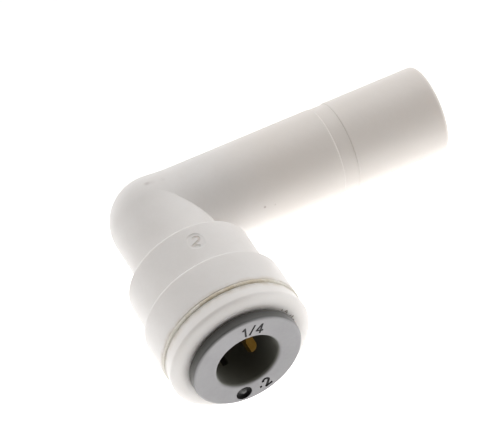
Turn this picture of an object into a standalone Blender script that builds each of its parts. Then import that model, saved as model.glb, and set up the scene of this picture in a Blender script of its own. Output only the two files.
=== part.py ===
"""Stem elbow push-to-connect fitting, as Blender objects.

Metres, +Z up. The plug-in stem points along +X and the tube socket opens along -Y. The
origin is under the middle of the fitting, on the plane that it rests on. Every turned
piece is drawn about its own local Z axis, which points outward along its arm.
"""

import math

import bmesh
import bpy
from mathutils import Matrix

MM = 0.001

# Tube and stem, both standard inch sizes.
TUBE_DIAMETER = 6.35 * MM
STEM_DIAMETER = 9.525 * MM

# Gap between neighbouring pieces, and the tube's running clearances.
CLEARANCE = 0.3 * MM
TUBE_CLEARANCE = 0.175 * MM
PILOT_CLEARANCE = 0.125 * MM

# Stem arm, measured from the elbow's centre.
STEM_LENGTH = 31.5 * MM
STEM_WALL = 1.66 * MM
STEM_END_ROUND = 0.45 * MM
STEM_GROOVE_START = 19.2 * MM
STEM_GROOVE_WIDTH = 1.75 * MM
STEM_GROOVE_DEPTH = 0.08 * MM

# Elbow and socket arm of the body.
PASSAGE_DIAMETER = 4.4 * MM
NECK_LENGTH = 7.48 * MM
NECK_WALL = 1.65 * MM
PILOT_LENGTH = 2.8 * MM
SHOULDER_WALL = 0.8 * MM
GLAND_WALL = 1.985 * MM
FLOOR_WALL = 0.44 * MM
SOCKET_WALL = 1.2 * MM
BODY_EDGE = 0.25 * MM

# Seal stack.
SEAL_SECTION = 1.6 * MM
SEAL_SQUEEZE = 0.2 * MM
WASHER_THICKNESS = 0.8 * MM

# Collet: six fingers on a sleeve, with a flange outside the cap.
COLLET_TRAVEL = 1.2 * MM
COLLET_END_GAP = 0.92 * MM
SLEEVE_WALL = 1.0 * MM
SLEEVE_LENGTH = 3.96 * MM
HEAD_LENGTH = 2.4 * MM
HEAD_TAPER = 1.1 * MM
HEAD_STEP = 0.85 * MM
FLANGE_LIP = 1.585 * MM
FLANGE_THICKNESS = 1.1 * MM
FLANGE_EDGE = 0.3 * MM
BORE_EDGE = 0.25 * MM
FINGER_COUNT = 6
FINGER_PHASE = math.radians(5)
SLOT_WIDTH = 1.25 * MM
SLOT_START = 2.95 * MM
SLOT_END_ROUND = 0.48
DIMPLE_DIAMETER = 1.7 * MM
DIMPLE_DEPTH = 0.45 * MM
DIMPLE_ANGLE = math.radians(-100)

# Gripping teeth, seated in a groove inside the finger heads.
TOOTH_WIDTH = 1.7 * MM
TOOTH_LENGTH = 1.2 * MM
TOOTH_THICKNESS = 0.3 * MM
TOOTH_TILT = math.radians(30)
TOOTH_BITE = 0.12 * MM
TOOTH_INSET = 1.2 * MM

# Retaining cap.
CAP_RIM_LENGTH = 1.95 * MM
CAP_EDGE = 0.5 * MM
CAP_SHOULDER = 1.35 * MM
CAP_WALL = 0.65 * MM
SPIGOT_LENGTH = 3.81 * MM
CAM_SLACK = 0.15 * MM
MOUTH_EDGE = 0.2 * MM

# Radii, worked out from the tube outward.
TUBE_RADIUS = TUBE_DIAMETER / 2
STEM_RADIUS = STEM_DIAMETER / 2
STEM_BORE_RADIUS = STEM_RADIUS - STEM_WALL
PASSAGE_RADIUS = PASSAGE_DIAMETER / 2
PILOT_RADIUS = TUBE_RADIUS + PILOT_CLEARANCE
NECK_RADIUS = PILOT_RADIUS + NECK_WALL
ELBOW_RADIUS = max(NECK_RADIUS, STEM_RADIUS)
SEAL_INNER_RADIUS = TUBE_RADIUS - SEAL_SQUEEZE
SEAL_OUTER_RADIUS = SEAL_INNER_RADIUS + SEAL_SECTION
GLAND_RADIUS = SEAL_OUTER_RADIUS + CLEARANCE
FIRST_RING_RADIUS = GLAND_RADIUS + GLAND_WALL
COLLET_BORE_RADIUS = TUBE_RADIUS + TUBE_CLEARANCE
SLEEVE_RADIUS = COLLET_BORE_RADIUS + SLEEVE_WALL
HEAD_RADIUS = SLEEVE_RADIUS + HEAD_STEP
FLANGE_RADIUS = SLEEVE_RADIUS + FLANGE_LIP
MOUTH_RADIUS = SLEEVE_RADIUS + CLEARANCE
CAVITY_RADIUS = HEAD_RADIUS + CLEARANCE
SPIGOT_RADIUS = CAVITY_RADIUS + CAP_WALL
COUNTERBORE_RADIUS = SPIGOT_RADIUS + CLEARANCE
SOCKET_RADIUS = COUNTERBORE_RADIUS + SOCKET_WALL

# Stations along the socket arm, from the elbow's centre outward.
FIRST_SHOULDER = NECK_LENGTH
GLAND_FLOOR = FIRST_SHOULDER + SHOULDER_WALL
TUBE_STOP = GLAND_FLOOR - PILOT_LENGTH
SEAL_CENTRE = GLAND_FLOOR + CLEARANCE + SEAL_SECTION / 2
WASHER_BOTTOM = SEAL_CENTRE + SEAL_SECTION / 2 + CLEARANCE
WASHER_TOP = WASHER_BOTTOM + WASHER_THICKNESS
HEAD_BOTTOM = WASHER_TOP + COLLET_END_GAP
HEAD_TOP = HEAD_BOTTOM + HEAD_LENGTH
TAPER_TOP = HEAD_TOP + HEAD_TAPER
FLANGE_BACK = TAPER_TOP + SLEEVE_LENGTH
COLLET_FACE = FLANGE_BACK + FLANGE_THICKNESS
CAP_FRONT = FLANGE_BACK - CLEARANCE
CAP_BACK = CAP_FRONT - CAP_RIM_LENGTH
BODY_MOUTH = CAP_BACK - CLEARANCE
SPIGOT_END = CAP_BACK - SPIGOT_LENGTH
COUNTERBORE_FLOOR = SPIGOT_END - CLEARANCE
SECOND_SHOULDER = COUNTERBORE_FLOOR - FLOOR_WALL
CAM_BOTTOM = HEAD_TOP + COLLET_TRAVEL + CAM_SLACK
CAM_TOP = CAM_BOTTOM + HEAD_TAPER

# Facets round a turned piece, and along a quarter-circle.
BODY_FACETS = 48
RING_FACETS = 36
SEAL_FACETS = 12
DOME_STEPS = 8
ROUND_STEPS = 3

PARTS = "push_to_connect_fitting"
CUTTERS = "cutters"


def clear_scene():
    for obj in list(bpy.data.objects):
        bpy.data.objects.remove(obj)
    for name in (PARTS, CUTTERS):
        collection = bpy.data.collections.new(name)
        bpy.context.scene.collection.children.link(collection)


def material(name, color, roughness, metallic=0.0):
    made = bpy.data.materials.new(name)
    made.use_nodes = True
    shader = made.node_tree.nodes["Principled BSDF"]
    shader.inputs["Base Color"].default_value = (*color, 1.0)
    shader.inputs["Roughness"].default_value = roughness
    shader.inputs["Metallic"].default_value = metallic
    made.diffuse_color = (*color, 1.0)
    return made


def arc(center_r, center_z, radius, start, end, steps):
    """Points round a centre, from one angle to another in degrees, 0 outward and 90 up."""
    angles = [math.radians(start + (end - start) * i / steps) for i in range(steps + 1)]
    return [(center_r + radius * math.cos(a), center_z + radius * math.sin(a)) for a in angles]


def dome(radius):
    """Points from a cylinder's edge at the elbow's centre, round a hemisphere, to its pole."""
    return arc(0, 0, radius, 0, -90, DOME_STEPS)[:-1] + [(0, -radius)]


def new_object(name, mesh, collection):
    obj = bpy.data.objects.new(name, mesh)
    bpy.data.collections[collection].objects.link(obj)
    return obj


def as_cutter(obj):
    obj.hide_render = True
    obj.display_type = "WIRE"
    return obj


def turned(name, outline, closed, facets, collection=PARTS):
    """A solid of revolution about local Z. The outline runs down its outer side."""
    mesh = bpy.data.meshes.new(name)
    points = [(r, 0, z) for r, z in outline]
    edges = [(i, i + 1) for i in range(len(points) - 1)]
    if closed:
        edges.append((len(points) - 1, 0))
    mesh.from_pydata(points, edges, [])
    obj = new_object(name, mesh, collection)
    screw = obj.modifiers.new("Turn", "SCREW")
    screw.axis = "Z"
    screw.angle = math.tau
    screw.steps = facets
    screw.render_steps = facets
    screw.use_merge_vertices = True
    screw.merge_threshold = 1e-6
    screw.use_smooth_shade = True
    return obj


def boolean(obj, operation, other):
    modifier = obj.modifiers.new(f"{operation.title()} {other.name}", "BOOLEAN")
    modifier.operation = operation
    modifier.solver = "EXACT"
    modifier.object = other


def arm_frames():
    """Empties at the elbow's centre whose local Z runs outward along each arm."""
    root = bpy.data.objects.new("fitting_frame", None)
    root.location = (
        (SOCKET_RADIUS - STEM_LENGTH) / 2,
        (COLLET_FACE - ELBOW_RADIUS) / 2,
        SOCKET_RADIUS,
    )
    socket = bpy.data.objects.new("socket_frame", None)
    socket.rotation_euler = (math.radians(90), 0, 0)
    stem = bpy.data.objects.new("stem_frame", None)
    stem.rotation_euler = (0, math.radians(90), 0)
    for empty in (root, socket, stem):
        empty.empty_display_size = STEM_RADIUS
        bpy.data.collections[PARTS].objects.link(empty)
    socket.parent = root
    stem.parent = root
    return socket, stem


def socket_outline():
    """Outer form of the socket arm: mouth, two stepped rings, neck and the elbow's dome."""
    outline = [(0, BODY_MOUTH)]
    outline += arc(SOCKET_RADIUS - BODY_EDGE, BODY_MOUTH - BODY_EDGE, BODY_EDGE, 90, 0, ROUND_STEPS)
    outline += arc(SOCKET_RADIUS - BODY_EDGE, SECOND_SHOULDER + BODY_EDGE, BODY_EDGE, 0, -90, ROUND_STEPS)
    outline += [(FIRST_RING_RADIUS, SECOND_SHOULDER)]
    outline += arc(FIRST_RING_RADIUS - BODY_EDGE, FIRST_SHOULDER + BODY_EDGE, BODY_EDGE, 0, -90, ROUND_STEPS)
    outline += [(NECK_RADIUS, FIRST_SHOULDER)]
    return outline + dome(NECK_RADIUS)


def stem_outline():
    """Outer form of the stem: rounded end, shallow grip groove and its dome at the elbow."""
    groove_radius = STEM_RADIUS - STEM_GROOVE_DEPTH
    groove_end = STEM_GROOVE_START + STEM_GROOVE_WIDTH
    round_center = (STEM_RADIUS - STEM_END_ROUND, STEM_LENGTH - STEM_END_ROUND)
    outline = [(0, STEM_LENGTH), *arc(*round_center, STEM_END_ROUND, 90, 0, ROUND_STEPS)]
    outline += [
        (STEM_RADIUS, groove_end),
        (groove_radius, groove_end - STEM_GROOVE_DEPTH),
        (groove_radius, STEM_GROOVE_START + STEM_GROOVE_DEPTH),
        (STEM_RADIUS, STEM_GROOVE_START),
    ]
    return outline + dome(STEM_RADIUS)


def socket_bore_outline():
    """Stepped bore: counterbore, collet cavity, seal gland, tube pilot and passage."""
    overshoot = BODY_MOUTH + SEAL_SECTION
    return [
        (0, overshoot),
        (COUNTERBORE_RADIUS, overshoot),
        (COUNTERBORE_RADIUS, COUNTERBORE_FLOOR),
        (CAVITY_RADIUS, COUNTERBORE_FLOOR),
        (CAVITY_RADIUS, WASHER_TOP),
        (GLAND_RADIUS, WASHER_TOP),
        (GLAND_RADIUS, GLAND_FLOOR),
        (PILOT_RADIUS, GLAND_FLOOR),
        (PILOT_RADIUS, TUBE_STOP),
        (PASSAGE_RADIUS, TUBE_STOP),
        (PASSAGE_RADIUS, 0),
        (0, 0),
    ]


def stem_bore_outline():
    start = -PASSAGE_RADIUS - CLEARANCE
    end = STEM_LENGTH + STEM_WALL
    return [(0, end), (STEM_BORE_RADIUS, end), (STEM_BORE_RADIUS, start), (0, start)]


def make_elbow_body(socket_frame, stem_frame, finish):
    body = turned("elbow_body", socket_outline(), False, BODY_FACETS)
    body.parent = socket_frame
    stem = as_cutter(turned("stem_form", stem_outline(), False, BODY_FACETS, CUTTERS))
    stem.parent = stem_frame
    socket_bore = as_cutter(turned("socket_bore", socket_bore_outline(), False, BODY_FACETS, CUTTERS))
    socket_bore.parent = socket_frame
    stem_bore = as_cutter(turned("stem_bore", stem_bore_outline(), False, RING_FACETS, CUTTERS))
    stem_bore.parent = stem_frame
    boolean(body, "UNION", stem)
    boolean(body, "DIFFERENCE", socket_bore)
    boolean(body, "DIFFERENCE", stem_bore)
    body.data.materials.append(finish)


def cap_outline():
    """Cap ring: rim with a softly rounded shoulder, spigot into the body, and the cam that closes the fingers."""
    shoulder = (SOCKET_RADIUS - CAP_SHOULDER, CAP_FRONT - CAP_EDGE)
    outline = [(MOUTH_RADIUS + MOUTH_EDGE, CAP_FRONT)]
    for reach, rise in arc(0, 0, 1, 90, 0, 2 * ROUND_STEPS):
        outline.append((shoulder[0] + CAP_SHOULDER * reach, shoulder[1] + CAP_EDGE * rise))
    outline += arc(SOCKET_RADIUS - BODY_EDGE, CAP_BACK + BODY_EDGE, BODY_EDGE, 0, -90, ROUND_STEPS)
    outline += [
        (SPIGOT_RADIUS, CAP_BACK),
        (SPIGOT_RADIUS, SPIGOT_END),
        (CAVITY_RADIUS, SPIGOT_END),
        (CAVITY_RADIUS, CAM_BOTTOM),
        (MOUTH_RADIUS, CAM_TOP),
        (MOUTH_RADIUS, CAP_FRONT - MOUTH_EDGE),
    ]
    return outline


def make_end_cap(socket_frame, finish):
    cap = turned("end_cap", cap_outline(), True, BODY_FACETS)
    cap.parent = socket_frame
    cap.data.materials.append(finish)


def collet_outline():
    """Flange, sleeve and finger heads, with the tooth groove inside the heads."""
    groove_center = HEAD_BOTTOM + TOOTH_INSET
    groove_half = (TOOTH_THICKNESS + TOOTH_LENGTH * math.sin(TOOTH_TILT)) / 2 + CLEARANCE
    groove_radius = tooth_outer_radius() + CLEARANCE
    outline = [(COLLET_BORE_RADIUS + BORE_EDGE, COLLET_FACE)]
    outline += arc(FLANGE_RADIUS - FLANGE_EDGE, COLLET_FACE - FLANGE_EDGE, FLANGE_EDGE, 90, 0, ROUND_STEPS)
    outline += [
        (FLANGE_RADIUS, FLANGE_BACK),
        (SLEEVE_RADIUS, FLANGE_BACK),
        (SLEEVE_RADIUS, TAPER_TOP),
        (HEAD_RADIUS, HEAD_TOP),
        (HEAD_RADIUS, HEAD_BOTTOM),
        (COLLET_BORE_RADIUS, HEAD_BOTTOM),
        (COLLET_BORE_RADIUS, groove_center - groove_half),
        (groove_radius, groove_center - groove_half),
        (groove_radius, groove_center + groove_half),
        (COLLET_BORE_RADIUS, groove_center + groove_half),
        (COLLET_BORE_RADIUS, COLLET_FACE - BORE_EDGE),
    ]
    return outline


def tooth_outer_radius():
    return TUBE_RADIUS - TOOTH_BITE + TOOTH_LENGTH * math.cos(TOOTH_TILT)


def slot_mesh():
    """A box from below the finger heads to the slot's end, where two edges are rounded."""
    inner = TUBE_RADIUS - TUBE_CLEARANCE
    outer = FLANGE_RADIUS
    bottom = HEAD_BOTTOM - COLLET_END_GAP
    top = COLLET_FACE - SLOT_START
    middle = Matrix.Translation(((inner + outer) / 2, 0, (bottom + top) / 2))
    size = Matrix.Diagonal((outer - inner, SLOT_WIDTH, top - bottom, 1))
    form = bmesh.new()
    bmesh.ops.create_cube(form, size=1, matrix=middle @ size)
    end_edges = []
    for edge in form.edges:
        along = edge.verts[0].co - edge.verts[1].co
        if abs(along.x) > SLOT_WIDTH / 2 and edge.verts[0].co.z > (bottom + top) / 2:
            end_edges.append(edge)
    bmesh.ops.bevel(
        form,
        geom=end_edges,
        offset=SLOT_WIDTH * SLOT_END_ROUND,
        segments=2 * ROUND_STEPS,
        profile=0.5,
        affect="EDGES",
    )
    mesh = bpy.data.meshes.new("slot")
    form.to_mesh(mesh)
    form.free()
    return mesh


def slot_cutters():
    mesh = slot_mesh()
    cutters = []
    for index in range(FINGER_COUNT):
        cutter = as_cutter(new_object(f"slot_{index + 1}", mesh, CUTTERS))
        cutter.rotation_euler = (0, 0, FINGER_PHASE + math.tau * index / FINGER_COUNT)
        cutters.append(cutter)
    return cutters


def dimple_cutter():
    """Round gate mark sunk in the flange's face."""
    radius = (COLLET_BORE_RADIUS + FLANGE_RADIUS) / 2
    bpy.ops.mesh.primitive_cylinder_add(
        vertices=RING_FACETS // 2, radius=DIMPLE_DIAMETER / 2, depth=2 * DIMPLE_DEPTH
    )
    cutter = bpy.context.object
    cutter.name = "gate_dimple"
    for collection in cutter.users_collection:
        collection.objects.unlink(cutter)
    bpy.data.collections[CUTTERS].objects.link(cutter)
    cutter.location = (radius * math.cos(DIMPLE_ANGLE), radius * math.sin(DIMPLE_ANGLE), COLLET_FACE)
    return as_cutter(cutter)


def make_collet(socket_frame, finish):
    collet = turned("collet", collet_outline(), True, BODY_FACETS)
    collet.parent = socket_frame
    for cutter in [*slot_cutters(), dimple_cutter()]:
        cutter.parent = socket_frame
        boolean(collet, "DIFFERENCE", cutter)
    collet.data.materials.append(finish)


def make_teeth(socket_frame, finish):
    """One stainless tooth to each finger. Its tip points into the socket, against a tube's pull."""
    mesh = bpy.data.meshes.new("collet_tooth")
    plate = bmesh.new()
    size = Matrix.Diagonal((TOOTH_LENGTH, TOOTH_WIDTH, TOOTH_THICKNESS, 1))
    bmesh.ops.create_cube(plate, size=1, matrix=size)
    plate.to_mesh(mesh)
    plate.free()
    mesh.materials.append(finish)
    radius = (TUBE_RADIUS - TOOTH_BITE + tooth_outer_radius()) / 2
    for index in range(FINGER_COUNT):
        angle = FINGER_PHASE + math.tau * (index + 0.5) / FINGER_COUNT
        tooth = new_object(f"collet_tooth_{index + 1}", mesh, PARTS)
        tooth.parent = socket_frame
        tooth.location = (radius * math.cos(angle), radius * math.sin(angle), HEAD_BOTTOM + TOOTH_INSET)
        tooth.rotation_euler = (0, -TOOTH_TILT, angle)


def make_seal(socket_frame, finish):
    center = (SEAL_INNER_RADIUS + SEAL_SECTION / 2, SEAL_CENTRE)
    outline = arc(*center, SEAL_SECTION / 2, 180, -180, SEAL_FACETS)[:-1]
    seal = turned("o_ring", outline, True, RING_FACETS)
    seal.parent = socket_frame
    seal.data.materials.append(finish)


def make_washer(socket_frame, finish):
    """Backing washer that keeps the O-ring in its gland."""
    outline = [
        (COLLET_BORE_RADIUS, WASHER_TOP),
        (SEAL_OUTER_RADIUS, WASHER_TOP),
        (SEAL_OUTER_RADIUS, WASHER_BOTTOM),
        (COLLET_BORE_RADIUS, WASHER_BOTTOM),
    ]
    washer = turned("seal_washer", outline, True, RING_FACETS)
    washer.parent = socket_frame
    washer.data.materials.append(finish)


def build():
    clear_scene()
    white_acetal = material("white_acetal", (0.80, 0.77, 0.73), 0.38)
    cream_acetal = material("cream_acetal", (0.81, 0.76, 0.70), 0.38)
    grey_acetal = material("grey_acetal", (0.34, 0.34, 0.36), 0.42)
    stainless = material("stainless_steel", (0.62, 0.61, 0.60), 0.28, 1.0)
    black_rubber = material("black_rubber", (0.018, 0.018, 0.018), 0.6)
    socket_frame, stem_frame = arm_frames()
    make_elbow_body(socket_frame, stem_frame, white_acetal)
    make_end_cap(socket_frame, cream_acetal)
    make_collet(socket_frame, grey_acetal)
    make_teeth(socket_frame, stainless)
    make_seal(socket_frame, black_rubber)
    make_washer(socket_frame, white_acetal)


build()
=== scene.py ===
"""Studio scene of a stem elbow push-to-connect fitting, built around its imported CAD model.

Every piece is built in millimetres and turned into metres when it joins the fitting. Outlines
are pairs of distance from the arm's axis and station along the arm, with stations counted
outward from the elbow's centre.
"""

import math
import random

import bmesh
import bpy
from mathutils import Matrix, Vector, noise


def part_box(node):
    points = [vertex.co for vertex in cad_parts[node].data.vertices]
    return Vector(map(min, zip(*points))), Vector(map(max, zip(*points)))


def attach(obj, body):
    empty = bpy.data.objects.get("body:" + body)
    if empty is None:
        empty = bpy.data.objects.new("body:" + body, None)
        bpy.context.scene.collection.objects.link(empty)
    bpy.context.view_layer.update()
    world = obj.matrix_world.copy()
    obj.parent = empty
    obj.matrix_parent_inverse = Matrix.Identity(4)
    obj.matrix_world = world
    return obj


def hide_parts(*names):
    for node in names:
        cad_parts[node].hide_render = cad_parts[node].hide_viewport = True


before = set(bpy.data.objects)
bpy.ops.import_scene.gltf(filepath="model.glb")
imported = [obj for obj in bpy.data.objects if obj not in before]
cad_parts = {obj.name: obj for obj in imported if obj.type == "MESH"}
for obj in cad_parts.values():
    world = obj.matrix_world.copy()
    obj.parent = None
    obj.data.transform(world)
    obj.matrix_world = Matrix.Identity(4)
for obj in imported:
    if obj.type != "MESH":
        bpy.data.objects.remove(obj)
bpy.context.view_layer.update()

MM = 0.001


def node_box(node):
    """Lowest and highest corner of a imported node, in millimetres."""
    low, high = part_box(node)
    return low / MM, high / MM


# Radii of the neck and the stem, which the boxes don't give.
NECK = 4.95
STEM = 4.7625

# Main sizes and stations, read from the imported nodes.
body_low, body_high = node_box("elbow_body")
cap_low, cap_high = node_box("end_cap")
collet_low, collet_high = node_box("collet")
seal_low, seal_high = node_box("o_ring")
washer_low, washer_high = node_box("seal_washer")
SOCKET = body_high.z / 2
ELBOW = Vector((body_low.x + SOCKET, body_high.y - NECK, SOCKET))


def station(y):
    """Distance outward along the socket's axis of a plane of constant y."""
    return ELBOW.y - y


STEM_END = body_high.x - ELBOW.x
BODY_MOUTH = station(body_low.y)
CAP_FRONT = station(cap_low.y)
SPIGOT_END = station(cap_high.y)
COLLET_FACE = station(collet_low.y)
HEAD_BOTTOM = station(collet_high.y)
SEAL_CENTRE = station((seal_low.y + seal_high.y) / 2)
SEAL_SECTION = seal_high.y - seal_low.y
SEAL_OUTER = (seal_high.x - seal_low.x) / 2
WASHER_BOTTOM = station(washer_high.y)
WASHER_TOP = station(washer_low.y)
FLANGE = (collet_high.x - collet_low.x) / 2

# Other radii, and the sizes of the cap's edge, that the boxes don't give.
STEM_BORE = 3.1025
PASSAGE = 2.2
PILOT = 3.3
GLAND = 4.875
CAVITY = 5.5
SPIGOT = 6.15
COUNTERBORE = 6.45
FIRST_RING = 6.86
COLLET_BORE = 3.35
SLEEVE = 4.35
HEAD = 5.2
MOUTH = 4.65
CAP_SHOULDER = 1.35
CAP_EDGE = 0.5
# How far the crown of the cap's front stands out toward the collet's flange.
CAP_RISE = 0.12

# Stations that the boxes don't give.
TUBE_STOP = 5.48
FIRST_SHOULDER = 7.48
GLAND_FLOOR = 8.28
SECOND_SHOULDER = 12.86
COUNTERBORE_FLOOR = SPIGOT_END - 0.3
CAP_BACK = CAP_FRONT - 1.95
CAM_BOTTOM = CAP_FRONT - 3.41
CAM_TOP = CAP_FRONT - 2.31
FLANGE_BACK = COLLET_FACE - 1.1
HEAD_TOP = HEAD_BOTTOM + 2.4
TAPER_TOP = HEAD_BOTTOM + 3.5
SLOT_END = COLLET_FACE - 2.95
TOOTH_STATION = HEAD_BOTTOM + 1.2
TOOTH_GROOVE = 4.394
GROOVE_START = 19.2
GROOVE_END = 20.95
GROOVE_DEPTH = 0.08

FINGERS = 6
FINGER_PHASE = math.radians(5)
SLOT_WIDTH = 1.25
# Facets round a solid of revolution, and round the bores cut into the body.
FACETS = 144
INNER_FACETS = 96
# Radii below this count as points on the axis.
ON_AXIS = 1e-6
# Vertices nearer than this are merged before shading.
MERGE_DISTANCE = 1e-4

# Where each arm's own axis is local Z.
SOCKET_PLACE = Matrix.Translation(ELBOW) @ Matrix.Rotation(math.radians(90), 4, "X")
STEM_PLACE = Matrix.Translation(ELBOW) @ Matrix.Rotation(math.radians(90), 4, "Y")


# ---------------------------------------------------------------- materials


class Nodes:
    """Short names for making and joining one material's nodes."""

    def __init__(self, name):
        self.material = bpy.data.materials.new(name)
        self.material.use_nodes = True
        self.tree = self.material.node_tree
        self.shader = self.tree.nodes["Principled BSDF"]
        self.place = self.tree.nodes.new("ShaderNodeTexCoord").outputs["Object"]

    def add(self, kind, values=None, **settings):
        node = self.tree.nodes.new(kind)
        for key, value in settings.items():
            setattr(node, key, value)
        for key, value in (values or {}).items():
            self.put(node.inputs[key], value)
        return node

    def put(self, socket, value):
        if isinstance(value, bpy.types.NodeSocket):
            self.tree.links.new(value, socket)
        else:
            socket.default_value = value

    def math(self, operation, a, b=0.0, clamp=False):
        node = self.add("ShaderNodeMath", {0: a, 1: b}, operation=operation, use_clamp=clamp)
        return node.outputs[0]

    def noise(self, size_mm, detail=3.0, rough=0.55, stretch=None):
        """Noise whose features are about this many millimetres across."""
        source = self.place
        if stretch:
            source = self.add("ShaderNodeMapping", {"Vector": source, "Scale": stretch}).outputs[0]
        scale = 1 / (size_mm * MM)
        values = {"Vector": source, "Scale": scale, "Detail": detail, "Roughness": rough}
        return self.add("ShaderNodeTexNoise", values).outputs["Fac"]

    def ramp(self, value, low, high, out_low=0.0, out_high=1.0):
        """Smooth change from one output to the other as a value goes from low to high."""
        values = {"Value": value, 1: low, 2: high, 3: out_low, 4: out_high}
        node = self.add("ShaderNodeMapRange", values, interpolation_type="SMOOTHSTEP")
        return node.outputs[0]

    def mix(self, share, a, b):
        """Colour a where the share is 0 and colour b where it is 1."""
        node = self.add("ShaderNodeMix", data_type="RGBA")
        for socket, value in zip((node.inputs[0], node.inputs[6], node.inputs[7]), (share, a, b)):
            self.put(socket, value)
        return node.outputs[2]

    def axes(self):
        """Station along the arm and distance from its axis, both in millimetres."""
        parts = self.add("ShaderNodeSeparateXYZ", {"Vector": self.place}).outputs
        squares = self.math("ADD", self.math("POWER", parts[0], 2), self.math("POWER", parts[1], 2))
        across = self.math("SQRT", squares)
        return self.math("DIVIDE", parts[2], MM), self.math("DIVIDE", across, MM)

    def near(self, point, reach_mm):
        """1 at a point in the object's own space, falling to 0 at this distance."""
        node = self.add("ShaderNodeVectorMath", {0: self.place, 1: point}, operation="DISTANCE")
        return self.ramp(node.outputs["Value"], 0.0, reach_mm * MM, 1.0, 0.0)

    def bump(self, heights):
        """Chains height fields, each a pair of value and depth in millimetres, into one normal."""
        normal = None
        for value, depth in heights:
            values = {"Height": value, "Distance": depth * MM, "Strength": 1.0}
            if normal is not None:
                values["Normal"] = normal
            normal = self.add("ShaderNodeBump", values).outputs[0]
        self.put(self.shader.inputs["Normal"], normal)

    def set(self, **values):
        """Sets the shader's inputs, with underscores in place of the spaces in their names."""
        for key, value in values.items():
            self.put(self.shader.inputs[key.replace("_", " ")], value)


# Distances out along the stem between which its plastic turns warmer.
WARM_START = 4
WARM_END = 14
# Distance from the socket's axis toward the stem at which the cap bore's painted glow and painted warm
# colour are full.
GLOW_REACH = 2.7


def moulded(name, pale, deep, gloss, glow, stains_and_shade=None):
    """Moulded acetal: soft mottling, fine speckle, a matt skin and light that gets under it."""
    made = Nodes(name)
    cloud = made.ramp(made.noise(5.0, 2.0), 0.35, 0.65)
    speckle = made.ramp(made.noise(0.35, 4.0), 0.3, 0.7)
    share = made.math("ADD", made.math("MULTIPLY", cloud, 0.7), made.math("MULTIPLY", speckle, 0.3))
    colour = made.mix(share, (*deep, 1), (*pale, 1))
    # Stains, and on the cap and the collet painted shade, go over the mottled colour.
    if stains_and_shade:
        colour = stains_and_shade(made, colour)
    skin = made.noise(0.09, 3.0)
    ripple = made.noise(1.6, 2.0)
    made.bump([(ripple, 0.02), (skin, 0.003)])
    made.set(
        Base_Color=colour,
        Roughness=made.ramp(made.noise(0.8, 3.0), 0.3, 0.7, gloss - 0.05, gloss + 0.06),
        IOR=1.48,
        Subsurface_Weight=glow,
        Subsurface_Radius=(1.0, 0.95, 0.9),
        Subsurface_Scale=0.9 * MM,
        Sheen_Weight=0.25,
        Sheen_Roughness=0.35,
    )
    return made.material


def body_stains(made, colour):
    """A warmer stem, tan weld stain by the mouth, and small marks on the elbow and the stem."""
    along = made.axes()[0]
    outward = made.add("ShaderNodeSeparateXYZ", {"Vector": made.place}).outputs[0]
    warmth = made.ramp(outward, WARM_START * MM, WARM_END * MM, 0.0, 0.8)
    colour = made.mix(warmth, colour, (0.81, 0.76, 0.715, 1))
    patchy = made.ramp(made.noise(1.1, 3.0), 0.38, 0.62, 0.25, 1.0)
    lip = made.ramp(along, BODY_MOUTH - 0.6, BODY_MOUTH, 0.0, 1.0)
    edge = made.math("MULTIPLY", lip, patchy)
    colour = made.mix(made.math("MULTIPLY", edge, 0.45), colour, (0.55, 0.46, 0.34, 1))
    for point, reach, depth in BODY_MARKS:
        spot = made.math("MULTIPLY", made.near(point, reach), depth)
        colour = made.mix(spot, colour, (0.25, 0.17, 0.14, 1))
    return colour


def cap_stains_and_shade(made, colour):
    """Tan weld stain by the seam, and a faint painted shade on the cap's front just beside the
    collet's flange.
    """
    along, across = made.axes()
    patchy = made.ramp(made.noise(0.9, 3.0), 0.38, 0.62, 0.4, 1.0)
    lip = made.ramp(along, CAP_BACK + 0.1, CAP_BACK + 0.85, 1.0, 0.0)
    edge = made.math("MULTIPLY", lip, patchy)
    colour = made.mix(made.math("MULTIPLY", edge, 0.5), colour, (0.58, 0.5, 0.38, 1))
    # Painted shade: the ring of the cap's front just beside the flange is darkened a little.
    beside = made.ramp(across, FLANGE - 0.1, FLANGE + 0.3, 1.0, 0.0)
    flange_shade = made.math("MULTIPLY", beside, 0.05)
    return made.mix(flange_shade, colour, (0.3, 0.26, 0.22, 1))


def collet_painted_shade(made, colour):
    """Painted shade below the polished face: the rest of the collet is coloured near-black, lightening
    toward the face, with a little painted light in the bore.
    """
    along, across = made.axes()
    face = made.ramp(along, COLLET_FACE - 0.2, COLLET_FACE - 0.01)
    height = made.ramp(along, COLLET_FACE - 1.0, COLLET_FACE)
    # Painted shade: below the face the collet is coloured near-black, a little lighter toward the
    # face.
    wall = made.mix(height, (0.06, 0.06, 0.055, 1), (0.1, 0.1, 0.097, 1))
    # Painted light: the bore is coloured a little lighter.
    inside = made.ramp(across, COLLET_BORE + 0.1, COLLET_BORE + 0.4, 1.0, 0.0)
    wall = made.mix(inside, wall, (0.125, 0.125, 0.105, 1))
    return made.mix(face, wall, colour)


def recess_finish():
    """Painted shade on the floor of the engraved marks."""
    made = Nodes("engraved_recess")
    tone = made.ramp(made.noise(0.2, 3.0), 0.3, 0.7)
    made.bump([(made.noise(0.12, 3.0), 0.01)])
    floor_colour = made.mix(tone, (0.01, 0.01, 0.012, 1), (0.03, 0.028, 0.026, 1))
    made.set(Base_Color=floor_colour, Roughness=0.6)
    return made.material


def soft_recess_finish():
    """Shallow mark in the white body, its floor coloured darker as painted shade."""
    made = Nodes("body_mark_recess")
    tone = made.ramp(made.noise(0.25, 3.0), 0.3, 0.7)
    made.bump([(made.noise(0.15, 3.0), 0.01)])
    made.set(
        Base_Color=made.mix(tone, (0.6, 0.56, 0.52, 1), (0.74, 0.7, 0.66, 1)),
        Roughness=0.55,
        Subsurface_Weight=0.2,
        Subsurface_Scale=0.4 * MM,
    )
    return made.material


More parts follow.
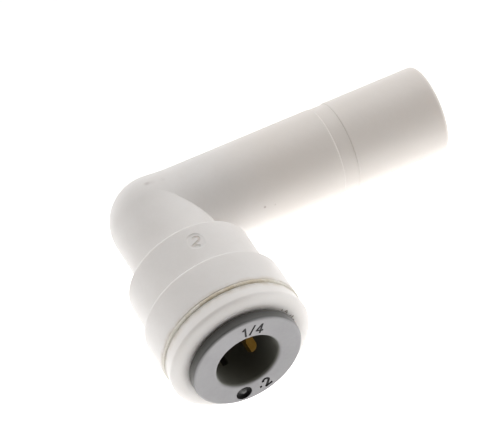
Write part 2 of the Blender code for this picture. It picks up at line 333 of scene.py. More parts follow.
def seam_finish():
    """Weld flash between body and cap, brown in patches and paler olive lower down."""
    made = Nodes("seam_flash")
    height = made.add("ShaderNodeSeparateXYZ", {"Vector": made.place}).outputs[1]
    low = made.ramp(height, 5.2 * MM, 7.2 * MM, 1.0, 0.0)
    patch = made.math("ADD", low, made.ramp(made.noise(1.4, 3.0), 0.42, 0.7), clamp=True)
    grain = made.ramp(made.noise(0.15, 4.0), 0.3, 0.7)
    brown = made.mix(grain, (0.52, 0.44, 0.32, 1), (0.67, 0.6, 0.48, 1))
    olive = made.mix(grain, (0.68, 0.65, 0.57, 1), (0.8, 0.77, 0.71, 1))
    made.bump([(made.noise(0.2, 4.0), 0.03)])
    made.set(Base_Color=made.mix(patch, brown, olive), Roughness=0.6)
    return made.material


def burr_finish():
    """Scorched brown shreds of flash."""
    made = Nodes("burr_plastic")
    tone = made.ramp(made.noise(0.12, 3.0), 0.3, 0.7)
    made.bump([(made.noise(0.08, 3.0), 0.01)])
    brown = made.mix(tone, (0.06, 0.04, 0.025, 1), (0.2, 0.13, 0.08, 1))
    made.set(Base_Color=brown, Roughness=0.55)
    return made.material


def glow_finish():
    """Cap bore: a painted amber glow from emission and a painted warmer, lighter colour, on the stem's
    side only, standing in for light through the white wall.
    """
    made = Nodes("cap_bore_glow")
    cloud = made.ramp(made.noise(1.0, 2.0), 0.3, 0.7)
    amber = made.mix(cloud, (0.75, 0.4, 0.05, 1), (0.85, 0.5, 0.09, 1))
    side = made.add("ShaderNodeSeparateXYZ", {"Vector": made.place}).outputs[0]
    toward_stem = made.ramp(side, 0.0, GLOW_REACH * MM)
    # Painted glow: amber emission in the bore, only on the stem's side.
    lit = made.mix(toward_stem, (0.1, 0.095, 0.07, 1), amber)
    made.bump([(made.noise(0.2, 3.0), 0.01)])
    plain = made.mix(cloud, (0.3, 0.28, 0.25, 1), (0.38, 0.36, 0.32, 1))
    # Painted light: the bore's base colour is also warmer and lighter on the stem's side.
    warm = made.mix(cloud, (0.62, 0.5, 0.34, 1), (0.72, 0.6, 0.44, 1))
    colour = made.mix(toward_stem, plain, warm)
    made.set(Base_Color=colour, Roughness=0.45, Emission_Color=lit, Emission_Strength=0.1)
    return made.material


def steel_finish():
    """Stamped stainless with fine lines from the rolls."""
    made = Nodes("tooth_steel")
    lines = made.noise(0.05, 3.0, 0.6, (1.0, 14.0, 14.0))
    tone = made.ramp(lines, 0.3, 0.7)
    made.bump([(lines, 0.004), (made.noise(0.4, 2.0), 0.006)])
    made.set(
        Base_Color=made.mix(tone, (0.5, 0.49, 0.48, 1), (0.7, 0.69, 0.67, 1)),
        Metallic=1.0,
        Roughness=made.ramp(lines, 0.3, 0.7, 0.2, 0.36),
    )
    return made.material


def rubber_finish():
    """Lubricated nitrile seal with a dusty bloom."""
    made = Nodes("seal_rubber")
    bloom = made.ramp(made.noise(0.5, 4.0), 0.4, 0.75)
    made.bump([(made.noise(0.12, 4.0), 0.008)])
    made.set(
        Base_Color=made.mix(bloom, (0.012, 0.012, 0.013, 1), (0.035, 0.034, 0.033, 1)),
        Roughness=made.ramp(bloom, 0.0, 1.0, 0.38, 0.62),
    )
    return made.material


def body_point(x, y, z):
    """A point given from the elbow's centre along the world's axes, in the body's own space."""
    return Vector((x, z, -y)) * MM


# Place, reach in millimetres and strength of each small dark mark on the body.
BODY_MARKS = [
    (body_point(-0.12, 1.3, 4.75), 0.46, 0.28),
    (body_point(0.35, 1.2, 4.75), 0.6, 0.1),
    (body_point(1.55, 1.0, 4.62), 0.5, 0.08),
    (body_point(10.06, -4.62, 1.17), 0.2, 0.6),
    (body_point(11.2, -4.66, 0.95), 0.14, 0.3),
]

WHITES = ((0.79, 0.768, 0.752), (0.757, 0.733, 0.715))
CREAMS = ((0.83, 0.808, 0.79), (0.80, 0.775, 0.752))
GREYS = ((0.35, 0.345, 0.355), (0.305, 0.3, 0.31))
NATURALS = ((0.80, 0.76, 0.69), (0.74, 0.69, 0.61))

white = moulded("white_acetal", *WHITES, gloss=0.42, glow=0.35, stains_and_shade=body_stains)
cream = moulded("cream_acetal", *CREAMS, gloss=0.42, glow=0.4, stains_and_shade=cap_stains_and_shade)
grey = moulded("grey_acetal", *GREYS, gloss=0.4, glow=0.05, stains_and_shade=collet_painted_shade)
natural = moulded("natural_acetal", *NATURALS, gloss=0.4, glow=0.3)
recess = recess_finish()
soft_recess = soft_recess_finish()
seam_flash = seam_finish()
burr_plastic = burr_finish()
bore_glow = glow_finish()
steel = steel_finish()
rubber = rubber_finish()


# ---------------------------------------------------------------- mesh tools


def rounded(corners, closed=True, steps=6):
    """Outline points from corners of (radius, station, fillet), each fillet drawn as an arc."""
    outline = []
    last = len(corners) - 1
    for index, (r, t, fillet) in enumerate(corners):
        corner = Vector((r, t))
        if fillet == 0 or (not closed and index in (0, last)):
            outline.append((r, t))
            continue
        back = (Vector(corners[index - 1][:2]) - corner).normalized()
        ahead = (Vector(corners[(index + 1) % len(corners)][:2]) - corner).normalized()
        half = back.angle(ahead) / 2
        centre = corner + (back + ahead).normalized() * (fillet / math.sin(half))
        start = corner + back * (fillet / math.tan(half)) - centre
        end = corner + ahead * (fillet / math.tan(half)) - centre
        for step in range(steps + 1):
            outline.append(tuple(centre + start.slerp(end, step / steps).normalized() * fillet))
    return outline


def ball(radius, steps=24):
    """Outline of a hemisphere from its rim at the elbow's centre to its pole behind it."""
    angles = [-math.pi / 2 * step / steps for step in range(steps)]
    return [(radius * math.cos(a), radius * math.sin(a)) for a in angles] + [(0, -radius)]


def new_object(name, form, place, finish=None):
    """An object made from a form, which is freed."""
    mesh = bpy.data.meshes.new(name)
    form.to_mesh(mesh)
    form.free()
    obj = bpy.data.objects.new(name, mesh)
    bpy.context.scene.collection.objects.link(obj)
    obj.matrix_world = place
    if finish:
        mesh.materials.append(finish)
    return obj


def turned(name, outline, place, finish=None, closed=True, facets=FACETS, wobble=None):
    """A solid of revolution about the place's local Z. Points on the axis become poles."""
    form = bmesh.new()
    rings = []
    for index, (r, t) in enumerate(outline):
        ring = []
        for facet in range(facets if r > ON_AXIS else 1):
            angle = math.tau * facet / facets
            grow, lift = wobble(angle, index) if wobble else (0, 0)
            reach = r + grow
            ring.append(form.verts.new((reach * math.cos(angle), reach * math.sin(angle), t + lift)))
        rings.append(ring)
    pairs = list(zip(rings, rings[1:]))
    if closed:
        pairs.append((rings[-1], rings[0]))
    for low, high in pairs:
        for facet in range(facets):
            after = (facet + 1) % facets
            quad = [
                low[facet % len(low)],
                low[after % len(low)],
                high[after % len(high)],
                high[facet % len(high)],
            ]
            # A pole stands in two of the corners, so doubled corners are dropped.
            form.faces.new(list(dict.fromkeys(quad)))
    bmesh.ops.recalc_face_normals(form, faces=form.faces)
    return new_object(name, form, place, finish)


def bake(obj):
    """Applies an object's modifiers to its mesh."""
    bpy.context.view_layer.update()
    graph = bpy.context.evaluated_depsgraph_get()
    mesh = bpy.data.meshes.new_from_object(obj.evaluated_get(graph))
    obj.modifiers.clear()
    obj.data = mesh


def combine(obj, other, operation="DIFFERENCE"):
    """Joins or cuts with another closed body, which is then removed and leaves its finish."""
    modifier = obj.modifiers.new(operation.title(), "BOOLEAN")
    modifier.operation = operation
    modifier.solver = "EXACT"
    modifier.material_mode = "TRANSFER"
    modifier.object = other
    bake(obj)
    bpy.data.objects.remove(other)


def shade(obj, degrees=32):
    """Smooth shading with crisp edges, and large faces kept flat beside their fillets."""
    form = bmesh.new()
    form.from_mesh(obj.data)
    bmesh.ops.remove_doubles(form, verts=form.verts, dist=MERGE_DISTANCE)
    form.to_mesh(obj.data)
    form.free()
    for face in obj.data.polygons:
        face.use_smooth = True
    obj.data.set_sharp_from_angle(angle=math.radians(degrees))
    weighted = obj.modifiers.new("Weighted normals", "WEIGHTED_NORMAL")
    weighted.mode = "FACE_AREA"
    weighted.keep_sharp = True
    bake(obj)


def box_form(low, high):
    """A block between two corners."""
    form = bmesh.new()
    low, high = Vector(low), Vector(high)
    size = high - low
    matrix = Matrix.Translation((low + high) / 2) @ Matrix.Diagonal((*size, 1))
    bmesh.ops.create_cube(form, size=1, matrix=matrix)
    return form


def bow():
    """Points of a numeral two's hook, down to the left end of its foot."""
    points = []
    steps = 12
    radius = 0.27
    for step in range(steps + 1):
        angle = math.radians(165 - 200 * step / steps)
        points.append((radius * math.cos(angle), 0.23 + radius * math.sin(angle)))
    return points + [(-0.27, -0.47)]


# Plain numerals as single strokes, one unit high about their middle.
STROKES = {
    "1": [[(-0.17, 0.27), (0.05, 0.47)], [(0.05, 0.5), (0.05, -0.5)]],
    "/": [[(-0.2, -0.5), (0.2, 0.5)]],
    "4": [
        [(0.08, 0.47), (-0.27, -0.2)],
        [(-0.27, -0.22), (0.33, -0.22)],
        [(0.12, 0.5), (0.12, -0.5)],
    ],
    ".": [[(-0.03, -0.42), (0.03, -0.42)]],
    "2": [bow(), [(-0.27, -0.47), (0.3, -0.47)]],
}


def stroke_form(points, width, depth):
    """A closed bar of even width along a line of points, with square ends just past them."""
    points = [Vector(point) for point in points]
    half = width / 2
    overrun = 0.6
    points[0] = points[0] + (points[0] - points[1]).normalized() * half * overrun
    points[-1] = points[-1] + (points[-1] - points[-2]).normalized() * half * overrun
    left, right = [], []
    for index, point in enumerate(points):
        before = points[max(index - 1, 0)]
        after = points[min(index + 1, len(points) - 1)]
        along = (after - before).normalized()
        side = Vector((-along.y, along.x)) * half
        left.append(point + side)
        right.append(point - side)
    loop = right + left[::-1]
    form = bmesh.new()
    top = [form.verts.new((p.x, p.y, depth)) for p in loop]
    low = [form.verts.new((p.x, p.y, -depth)) for p in loop]
    form.faces.new(top)
    form.faces.new(low)
    for index in range(len(loop)):
        after = (index + 1) % len(loop)
        form.faces.new((top[index], top[after], low[after], low[index]))
    bmesh.ops.recalc_face_normals(form, faces=form.faces)
    return form


def engrave(obj, text, height, width, depth, place, finish):
    """Cuts one character into a piece, its middle at the place's origin and upright along Y."""
    for points in STROKES[text]:
        scaled = [(x * height, y * height) for x, y in points]
        combine(obj, new_object("stroke", stroke_form(scaled, width, depth), place, finish))


# ---------------------------------------------------------------- white body


def swell():
    """Where the stem grows a little wider to run smoothly into the elbow's ball."""
    start = 0.4
    end = 3.2
    rim = math.sqrt(NECK ** 2 - start ** 2)
    slope = -start / rim
    points = []
    steps = 12
    for step in range(steps + 1):
        share = 1 - step / steps
        run = (end - start) * slope
        bend = (share ** 3 - 2 * share ** 2 + share) * run
        rim_share = 2 * share ** 3 - 3 * share ** 2 + 1
        stem_share = 3 * share ** 2 - 2 * share ** 3
        radius = rim_share * rim + bend + stem_share * STEM
        points.append((radius, start + (end - start) * share))
    return points


def make_body():
    """One moulding: elbow, plug-in stem with a shallow grip groove, and the two-ring socket."""
    outer = [
        (0, BODY_MOUTH, 0),
        (SOCKET, BODY_MOUTH, 0.14),
        (SOCKET, SECOND_SHOULDER, 0.32),
        (FIRST_RING, SECOND_SHOULDER, 0.12),
        (FIRST_RING, FIRST_SHOULDER, 0.32),
        (NECK, FIRST_SHOULDER, 0.2),
    ]
    outline = rounded(outer + [(NECK, 0, 0)], closed=False)[:-1] + ball(NECK)
    body = turned("elbow_body_visual", outline, SOCKET_PLACE, white, closed=False)
    groove = STEM - GROOVE_DEPTH
    stem_outer = [
        (0, STEM_END, 0),
        (STEM, STEM_END, 0.45),
        (STEM, GROOVE_END, 0.03),
        (groove, GROOVE_END - 0.09, 0.03),
        (groove, GROOVE_START + 0.09, 0.03),
        (STEM, GROOVE_START, 0.03),
        (STEM, 3.3, 0),
        (STEM, 3.25, 0),
    ]
    stem_outline = rounded(stem_outer, closed=False, steps=5)[:-1] + swell() + ball(NECK - 0.03)
    combine(body, turned("stem_form", stem_outline, STEM_PLACE, closed=False), "UNION")
    above = BODY_MOUTH + 2
    socket_bore = [
        (0, above, 0),
        (COUNTERBORE + 1, above, 0),
        (COUNTERBORE + 1, BODY_MOUTH + 0.8, 0),
        (COUNTERBORE, BODY_MOUTH - 0.2, 0.1),
        (COUNTERBORE, COUNTERBORE_FLOOR, 0.12),
        (CAVITY, COUNTERBORE_FLOOR, 0.08),
        (CAVITY, WASHER_TOP, 0.08),
        (GLAND, WASHER_TOP, 0.08),
        (GLAND, GLAND_FLOOR, 0.15),
        (PILOT, GLAND_FLOOR, 0.12),
        (PILOT, TUBE_STOP, 0.1),
        (PASSAGE, TUBE_STOP, 0.15),
        (PASSAGE, 0, 0),
        (0, 0, 0),
    ]
    bore_outline = rounded(socket_bore, closed=False, steps=4)
    combine(body, turned("socket_bore", bore_outline, SOCKET_PLACE, closed=False, facets=INNER_FACETS))
    # The stem's bore ends just past the socket's passage, which it opens into.
    start = -PASSAGE - 0.3
    stem_bore = [
        (0, STEM_END + 2, 0),
        (STEM_BORE + 1.6, STEM_END + 2, 0),
        (STEM_BORE + 0.22, STEM_END, 0.0),
        (STEM_BORE, STEM_END - 0.35, 0.1),
        (STEM_BORE, start, 0.6),
        (0, start, 0),
    ]
    bore_outline = rounded(stem_bore, closed=False, steps=4)
    combine(body, turned("stem_bore", bore_outline, STEM_PLACE, closed=False, facets=INNER_FACETS))
    number_ring(body)
    shade(body)
    return body


# Where the mould number stands on the first ring: angle about the axis, station and turn.
NUMBER_ANGLE = math.radians(88)
NUMBER_STATION = 9.72
NUMBER_TURN = math.radians(-24)


def number_ring(body):
    """Mould cavity number in a shallow round sink on top of the first ring."""
    spot = Matrix.Translation((FIRST_RING, 0, NUMBER_STATION))
    at = Matrix.Rotation(NUMBER_ANGLE, 4, "Z") @ spot
    # Turns a character that lies in the XY plane to face away from the socket's axis.
    upright = Matrix(((0, 0, 1, 0), (-1, 0, 0, 0), (0, -1, 0, 0), (0, 0, 0, 1)))
    place = SOCKET_PLACE @ at @ upright @ Matrix.Rotation(NUMBER_TURN, 4, "Z")
    sink = [(0, 0.5, 0), (1.14, 0.5, 0), (1.02, -0.05, 0.03), (0.86, -0.085, 0.06), (0, -0.06, 0)]
    sink_outline = rounded(sink, closed=False, steps=3)
    combine(body, turned("sink", sink_outline, place, closed=False, facets=40))
    engrave(body, "2", height=1.2, width=0.26, depth=0.12, place=place, finish=soft_recess)


# ---------------------------------------------------------------- retaining cap


def make_cap():
    """Cap ring: crowned front, low round shoulder, spigot into the body, cam for the fingers."""
    corners = [
        (SOCKET, CAP_BACK, 0.16),
        (SPIGOT, CAP_BACK, 0.1),
        (SPIGOT, SPIGOT_END, 0.15),
        (CAVITY, SPIGOT_END, 0.12),
        (CAVITY, CAM_BOTTOM, 0.15),
        (MOUTH, CAM_TOP, 0.15),
        (MOUTH, CAP_FRONT, 0.2),
        (SOCKET - CAP_SHOULDER, CAP_FRONT + CAP_RISE, 0),
    ]
    outline = rounded(corners, steps=8)[:-1]
    drop = CAP_EDGE + CAP_RISE
    steps = 16
    for step in range(steps + 1):
        angle = math.pi / 2 * (1 - step / steps)
        reach = SOCKET - CAP_SHOULDER + CAP_SHOULDER * math.cos(angle)
        outline.append((reach, CAP_FRONT - CAP_EDGE + drop * math.sin(angle)))
    cap = turned("end_cap_visual", outline, SOCKET_PLACE, cream)
    cap.data.materials.append(bore_glow)
    for face in cap.data.polygons:
        middle = face.center
        if math.hypot(middle.x, middle.y) < CAVITY + 0.1 and middle.z < CAM_TOP + 0.6:
            face.material_index = 1
    shade(cap)
    return cap


# The flash bead: radius of its section's middle, reach across and half its width.
SEAM_RADIUS = SOCKET - 0.42
SEAM_REACH = 0.4
SEAM_HALF = 0.21


def make_seam():
    """Weld flash squeezed out between body and cap, uneven all the way round."""
    middle = (BODY_MOUTH + CAP_BACK) / 2
    section = []
    steps = 12
    for step in range(steps):
        angle = math.tau * step / steps
        reach = math.copysign(math.sqrt(abs(math.cos(angle))), math.cos(angle))
        half = math.copysign(math.sqrt(abs(math.sin(angle))), math.sin(angle))
        section.append((SEAM_RADIUS + SEAM_REACH * reach, middle + SEAM_HALF * half))

    def uneven(angle, index):
        # The three points of the section nearest the axis stay still.
        if index in (5, 6, 7):
            return 0, 0
        at = Vector((2.6 * math.cos(angle), 2.6 * math.sin(angle), 0.4 * index))
        fine = Vector((15 * math.cos(angle), 15 * math.sin(angle), 0.9 * index))
        return 0.07 * noise.noise(at) + 0.04 * noise.noise(fine), 0

    seam = turned("seam_flash", section, SOCKET_PLACE, seam_flash, facets=360, wobble=uneven)
    shade(seam, 60)
    return seam


# Degrees about the socket's axis, length and sideways lean of each shred of moulding flash.
BURRS = [
    (39, 0.36, 0.5),
    (35, 0.52, -0.3),
    (31, 0.4, 0.5),
    (25, 0.34, -0.4),
    (20, 0.5, 0.5),
    (17, 0.3, -0.5),
]
BURR_WIDTH = 0.085
BURR_TIP = 0.01
BURR_LIFT = 0.13
BURR_SEED = 4


def make_burrs():
    """Torn shreds of flash on the cap's front, beside the collet's flange."""
    form = bmesh.new()
    chance = random.Random(BURR_SEED)
    steps = 6
    spokes = 6
    for degrees, length, lean in BURRS:
        root = Vector((FLANGE - 0.12, 0, CAP_FRONT - 0.03))
        heading = Vector((1, lean, 0.12)).normalized()
        side = Vector((-lean, 1, 0)).normalized()
        turn = Matrix.Rotation(math.radians(degrees), 3, "Z")
        rings = []
        for step in range(steps):
            share = step / (steps - 1)
            width = BURR_WIDTH * (1 - share) ** 0.8 + BURR_TIP
            lift = BURR_LIFT * math.sin(share * 2.6)
            stray = Vector((0, chance.uniform(-0.02, 0.02), lift))
            core = root + heading * (length * share) + stray
            ring = []
            for spoke in range(spokes):
                angle = math.tau * spoke / spokes
                upward = Vector((0, 0, math.sin(angle) * width * 0.5))
                offset = side * (math.cos(angle) * width) + upward
                ring.append(form.verts.new(turn @ (core + offset)))
            rings.append(ring)
        for low, high in zip(rings, rings[1:]):
            for spoke in range(spokes):
                after = (spoke + 1) % spokes
                form.faces.new((low[spoke], low[after], high[after], high[spoke]))
        form.faces.new(rings[0])
        form.faces.new(rings[-1])
    bmesh.ops.recalc_face_normals(form, faces=form.faces)
    burrs = new_object("cap_burrs", form, SOCKET_PLACE, burr_plastic)
    shade(burrs, 50)
    return burrs


# ---------------------------------------------------------------- collet


def slot_cutter(angle):
    """Slot from below a finger's head to its rounded end."""
    low = (PILOT - 0.3, -SLOT_WIDTH / 2, HEAD_BOTTOM - 0.9)
    form = box_form(low, (FLANGE, SLOT_WIDTH / 2, SLOT_END))
    ends = []
    for edge in form.edges:
        run = edge.verts[0].co - edge.verts[1].co
        if abs(run.x) > 1 and edge.verts[0].co.z > SLOT_END - 0.1:
            ends.append(edge)
    bmesh.ops.bevel(
        form,
        geom=ends,
        offset=0.48 * SLOT_WIDTH,
        segments=10,
        profile=0.5,
        affect="EDGES",
    )
    return new_object("slot", form, SOCKET_PLACE @ Matrix.Rotation(angle, 4, "Z"))


def face_place(degrees, radius, inward):
    """Where a character stands on the collet's face, its top toward the bore or outward."""
    turn = math.radians(degrees + (90 if inward else -90))
    spot = Vector((math.cos(math.radians(degrees)), math.sin(math.radians(degrees)), 0)) * radius
    spot.z = COLLET_FACE
    return SOCKET_PLACE @ Matrix.Translation(spot) @ Matrix.Rotation(turn, 4, "Z")


def dimple(angle, radius):
    """Round gate recess with the torn stub of the sprue left standing in it."""
    spot = Vector((radius * math.cos(angle), radius * math.sin(angle), COLLET_FACE))
    place = SOCKET_PLACE @ Matrix.Translation(spot) @ Matrix.Rotation(angle, 4, "Z")
    sink = [(0, 0.4, 0), (0.98, 0.4, 0), (0.85, -0.02, 0.04), (0.8, -0.45, 0.12), (0, -0.45, 0)]
    cutter = turned("gate_sink", rounded(sink, closed=False), place, recess, closed=False, facets=48)

    def torn(turn, index):
        at = Vector((1.9 * math.cos(turn), 1.9 * math.sin(turn), 0.8 * index))
        return 0.14 * noise.noise(at), 0.12 * noise.noise(at + Vector((9, 0, 0)))

    stub = [(0, -0.12), (0.16, -0.14), (0.3, -0.2), (0.38, -0.32), (0.44, -0.5), (0, -0.5)]
    nub = turned("gate_stub", stub, place, closed=False, facets=28, wobble=torn)
    return cutter, nub


# Characters on the collet's face with their degrees about the axis, and radius where it varies.
SIZE_CHARACTERS = (("1", 90.6), ("/", 80.4), ("4", 69.8))
SIZE_RADIUS = 4.52
MOULD_CHARACTERS = ((".", -77.5, 4.35), ("2", -68.2, 4.62))
GATE_ANGLE = math.radians(-100)
GATE_RADIUS = 4.64


def make_collet():
    """Release collet: flange, sleeve and six slotted fingers with a groove for their teeth."""
    groove_half = 0.75
    corners = [
        (COLLET_BORE, COLLET_FACE, 0.4),
        (FLANGE, COLLET_FACE, 0.3),
        (FLANGE, FLANGE_BACK, 0.06),
        (SLEEVE, FLANGE_BACK, 0.1),
        (SLEEVE, TAPER_TOP, 0.3),
        (HEAD, HEAD_TOP, 0.2),
        (HEAD, HEAD_BOTTOM, 0.15),
        (COLLET_BORE, HEAD_BOTTOM, 0.12),
        (COLLET_BORE, TOOTH_STATION - groove_half, 0.05),
        (TOOTH_GROOVE, TOOTH_STATION - groove_half, 0.08),
        (TOOTH_GROOVE, TOOTH_STATION + groove_half, 0.08),
        (COLLET_BORE, TOOTH_STATION + groove_half, 0.05),
    ]
    collet = turned("collet_visual", rounded(corners, steps=7), SOCKET_PLACE, grey)
    for finger in range(FINGERS):
        combine(collet, slot_cutter(FINGER_PHASE + math.tau * finger / FINGERS))
    for text, degrees in SIZE_CHARACTERS:
        place = face_place(degrees, SIZE_RADIUS, inward=False)
        engrave(collet, text, height=1.17, width=0.21, depth=0.08, place=place, finish=recess)
    for text, degrees, radius in MOULD_CHARACTERS:
        place = face_place(degrees, radius, inward=True)
        engrave(collet, text, height=1.15, width=0.28, depth=0.14, place=place, finish=recess)
    cutter, nub = dimple(GATE_ANGLE, GATE_RADIUS)
    combine(collet, cutter)
    combine(collet, nub, "UNION")
    shade(collet)
    return collet


# Outline of a gripping tooth, its four points toward the bore at negative X.
TOOTH_EDGE = [
    (0.6, -0.82),
    (0.6, 0.82),
    (-0.28, 0.85),
    (-0.6, 0.72),
    (-0.4, 0.42),
    (-0.6, 0.14),
    (-0.42, 0.0),
    (-0.6, -0.14),
    (-0.4, -0.42),
    (-0.6, -0.72),
    (-0.28, -0.85),
]
TOOTH_THICKNESS = 0.3
# How far the points are bevelled back on one side, and where along the tooth that begins.
TOOTH_BEVEL = 0.16
BEVEL_START = -0.35
TOOTH_LEAN = math.radians(-30)


def make_tooth(index):
    """Stamped plate with four bevelled points that lean into the socket."""
    form = bmesh.new()
    half = TOOTH_THICKNESS / 2
    top = [form.verts.new((x, y, half)) for x, y in TOOTH_EDGE]
    low = []
    for x, y in TOOTH_EDGE:
        reach = x + TOOTH_BEVEL if x < BEVEL_START else x
        low.append(form.verts.new((reach, y, -half)))
    count = len(TOOTH_EDGE)
    form.faces.new(top)
    form.faces.new(low)
    for corner in range(count):
        after = (corner + 1) % count
        form.faces.new((top[corner], top[after], low[after], low[corner]))
    bmesh.ops.recalc_face_normals(form, faces=form.faces)
    bmesh.ops.bevel(
        form,
        geom=list(form.edges),
        offset=0.02,
        segments=2,
        profile=0.6,
        affect="EDGES",
        clamp_overlap=True,
    )
    angle = FINGER_PHASE + math.tau * (index + 0.5) / FINGERS
    low_corner, high_corner = node_box(f"collet_tooth_{index + 1}")
    spot = (low_corner + high_corner) / 2
    turn = Matrix.Rotation(math.radians(90), 4, "X") @ Matrix.Rotation(angle, 4, "Z")
    lean = Matrix.Rotation(TOOTH_LEAN, 4, "Y")
    place = Matrix.Translation(spot) @ turn @ lean
    tooth = new_object(f"tooth_{index + 1}_visual", form, place, steel)
    shade(tooth, 25)
    return tooth


# ---------------------------------------------------------------- seal stack


def make_seal():
    """O-ring with the fine flash lines that its mould leaves inside and outside."""
    centre = SEAL_OUTER - SEAL_SECTION / 2
    section = []
    steps = 40
    flash_height = 0.025
    for step in range(steps):
        angle = math.tau * step / steps
        flash = flash_height if step in (0, steps // 2) else 0.0
        reach = SEAL_SECTION / 2 - flash_height + flash
        section.append((centre + reach * math.cos(angle), SEAL_CENTRE + reach * math.sin(angle)))
    seal = turned("o_ring_visual", section, SOCKET_PLACE, rubber)
    shade(seal, 50)
    return seal


def make_washer():
    """Backing washer that keeps the O-ring in its gland, its lead-in edge rounded more."""
    corners = [
        (COLLET_BORE, WASHER_TOP, 0.18),
        (SEAL_OUTER, WASHER_TOP, 0.1),
        (SEAL_OUTER, WASHER_BOTTOM, 0.1),
        (COLLET_BORE, WASHER_BOTTOM, 0.1),
    ]
    washer = turned("seal_washer_visual", rounded(corners), SOCKET_PLACE, natural)
    shade(washer)
    return washer


def add(piece, body, nodes=()):
    """Turns a finished piece into metres and joins it to its body."""
    piece.data.transform(Matrix.Scale(MM, 4))
    place = piece.matrix_world.copy()
    place.translation = place.translation * MM
    piece.matrix_world = place
    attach(piece, body)
    if nodes:
        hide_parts(*nodes)


add(make_body(), "fitting", ["elbow_body"])
add(make_cap(), "fitting", ["end_cap"])
add(make_seam(), "fitting")
add(make_burrs(), "fitting")
add(make_seal(), "fitting", ["o_ring"])
add(make_washer(), "fitting", ["seal_washer"])
add(make_collet(), "collet", ["collet"])
for tooth_index in range(FINGERS):
    add(make_tooth(tooth_index), "collet", [f"collet_tooth_{tooth_index + 1}"])


# ---------------------------------------------------------------- studio

FLOOR_HALF = 1.5
FLOOR_SQUARES = 24
# The table glows in front of the fitting and less behind it, changing between these depths.
FLOOR_LIGHT = 1.15
FLOOR_BACK_LIGHT = 0.4
FLOOR_FRONT = -0.01
FLOOR_BACK = 0.04
# Direction from the fitting to the middle of the dim part of the studio, above its front.
DIM_SIDE = Vector((-0.385, -0.72, 0.577)).normalized()
# Cosine of the angle from that direction, and brightness there.
STUDIO_TONES = [
    (-1.0, (0.45, 0.45, 0.45)),
    (-0.5, (0.7, 0.7, 0.7)),
    (-0.1, (1.75, 1.75, 1.75)),
    (0.35, (1.2, 1.19, 1.18)),
    (0.62, (0.21, 0.19, 0.165)),
    (1.0, (0.03, 0.025, 0.02)),
]
STUDIO_PEAK = 1.75
# The surround is dimmer toward both sides by the first share, and lighter to the right and
# darker to the left by the second.
SIDE_DIMMING = 0.13
SIDE_TILT = 0.04
BACKDROP_LIGHT = 1.05


def make_floor():
    """White table that the fitting lies on."""
    form = bmesh.new()
    squares = FLOOR_SQUARES
    bmesh.ops.create_grid(form, x_segments=squares, y_segments=squares, size=FLOOR_HALF)
    made = Nodes("floor_white")
    cloud = made.noise(300.0, 2.0)
    tone = made.mix(cloud, (0.9, 0.9, 0.9, 1), (0.94, 0.94, 0.94, 1))
    depth = made.add("ShaderNodeSeparateXYZ", {"Vector": made.place}).outputs[1]
    glow = made.ramp(depth, FLOOR_FRONT, FLOOR_BACK, FLOOR_LIGHT, FLOOR_BACK_LIGHT)
    made.set(Base_Color=tone, Roughness=0.9, Emission_Color=tone, Emission_Strength=glow)
    floor = new_object("floor", form, Matrix.Identity(4), made.material)


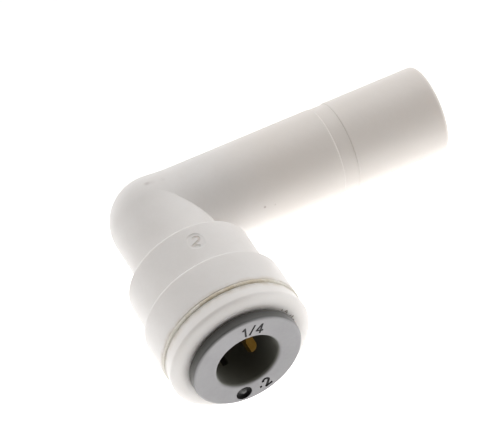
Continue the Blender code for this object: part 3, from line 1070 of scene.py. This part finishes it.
def make_studio():
    """White surround: darkest above the fitting's front, brightest in a broad ring about square
    to that direction and dimmer again opposite it. A plain white backdrop shows behind it."""
    world = bpy.data.worlds.new("studio")
    bpy.context.scene.world = world
    world.use_nodes = True
    tree = world.node_tree
    tree.nodes.clear()
    where = tree.nodes.new("ShaderNodeTexCoord")
    dot = tree.nodes.new("ShaderNodeVectorMath")
    dot.operation = "DOT_PRODUCT"
    dot.inputs[1].default_value = DIM_SIDE
    tree.links.new(where.outputs["Generated"], dot.inputs[0])
    spread = tree.nodes.new("ShaderNodeMapRange")
    spread.inputs[1].default_value = -1.0
    tree.links.new(dot.outputs["Value"], spread.inputs[0])
    tones = tree.nodes.new("ShaderNodeValToRGB")
    tones.color_ramp.interpolation = "EASE"
    tree.links.new(spread.outputs[0], tones.inputs[0])
    elements = tones.color_ramp.elements
    while len(elements) < len(STUDIO_TONES):
        elements.new(0.5)
    for element, (cosine, tone) in zip(elements, STUDIO_TONES):
        element.position = (cosine + 1) / 2
        element.color = (*(level / STUDIO_PEAK for level in tone), 1)
    parts = tree.nodes.new("ShaderNodeSeparateXYZ")
    tree.links.new(where.outputs["Generated"], parts.inputs[0])
    slope = tree.nodes.new("ShaderNodeMath")
    slope.operation = "MULTIPLY_ADD"
    slope.inputs[1].default_value = -SIDE_DIMMING * STUDIO_PEAK
    slope.inputs[2].default_value = SIDE_TILT * STUDIO_PEAK
    tree.links.new(parts.outputs[0], slope.inputs[0])
    strength = tree.nodes.new("ShaderNodeMath")
    strength.operation = "MULTIPLY_ADD"
    strength.inputs[2].default_value = STUDIO_PEAK
    tree.links.new(parts.outputs[0], strength.inputs[0])
    tree.links.new(slope.outputs[0], strength.inputs[1])
    light = tree.nodes.new("ShaderNodeBackground")
    tree.links.new(strength.outputs[0], light.inputs["Strength"])
    tree.links.new(tones.outputs["Color"], light.inputs["Color"])
    backdrop = tree.nodes.new("ShaderNodeBackground")
    backdrop.inputs["Color"].default_value = (1, 1, 1, 1)
    backdrop.inputs["Strength"].default_value = BACKDROP_LIGHT
    path = tree.nodes.new("ShaderNodeLightPath")
    choose = tree.nodes.new("ShaderNodeMixShader")
    tree.links.new(path.outputs["Is Camera Ray"], choose.inputs[0])
    tree.links.new(light.outputs[0], choose.inputs[1])
    tree.links.new(backdrop.outputs[0], choose.inputs[2])
    out = tree.nodes.new("ShaderNodeOutputWorld")
    tree.links.new(choose.outputs[0], out.inputs["Surface"])


# The camera's place from the elbow's centre in millimetres, and which way its picture lies.
CAMERA_PLACE = Vector((-67.30, -189.79, 231.39))
CAMERA_RIGHT = Vector((0.8917, -0.4478, -0.0665))
CAMERA_UP = Vector((0.3788, 0.6575, 0.6513))
LENS = 214.7
SENSOR_WIDTH = 36
CLIP_START = 0.01
CLIP_END = 10


def make_camera():
    """Camera that sees the fitting from above its front left."""
    data = bpy.data.cameras.new("camera")
    data.sensor_width = SENSOR_WIDTH
    data.lens = LENS
    data.clip_start = CLIP_START
    data.clip_end = CLIP_END
    camera = bpy.data.objects.new("camera", data)
    bpy.context.scene.collection.objects.link(camera)
    back = CAMERA_RIGHT.cross(CAMERA_UP).normalized()
    up = back.cross(CAMERA_RIGHT).normalized()
    turn = Matrix((CAMERA_RIGHT.normalized(), up, back)).transposed()
    camera.matrix_world = Matrix.Translation((ELBOW + CAMERA_PLACE) * MM) @ turn.to_4x4()
    bpy.context.scene.camera = camera


make_floor()
make_studio()
make_camera()
bpy.context.scene.view_settings.view_transform = "Standard"
bpy.context.scene.view_settings.look = "None"
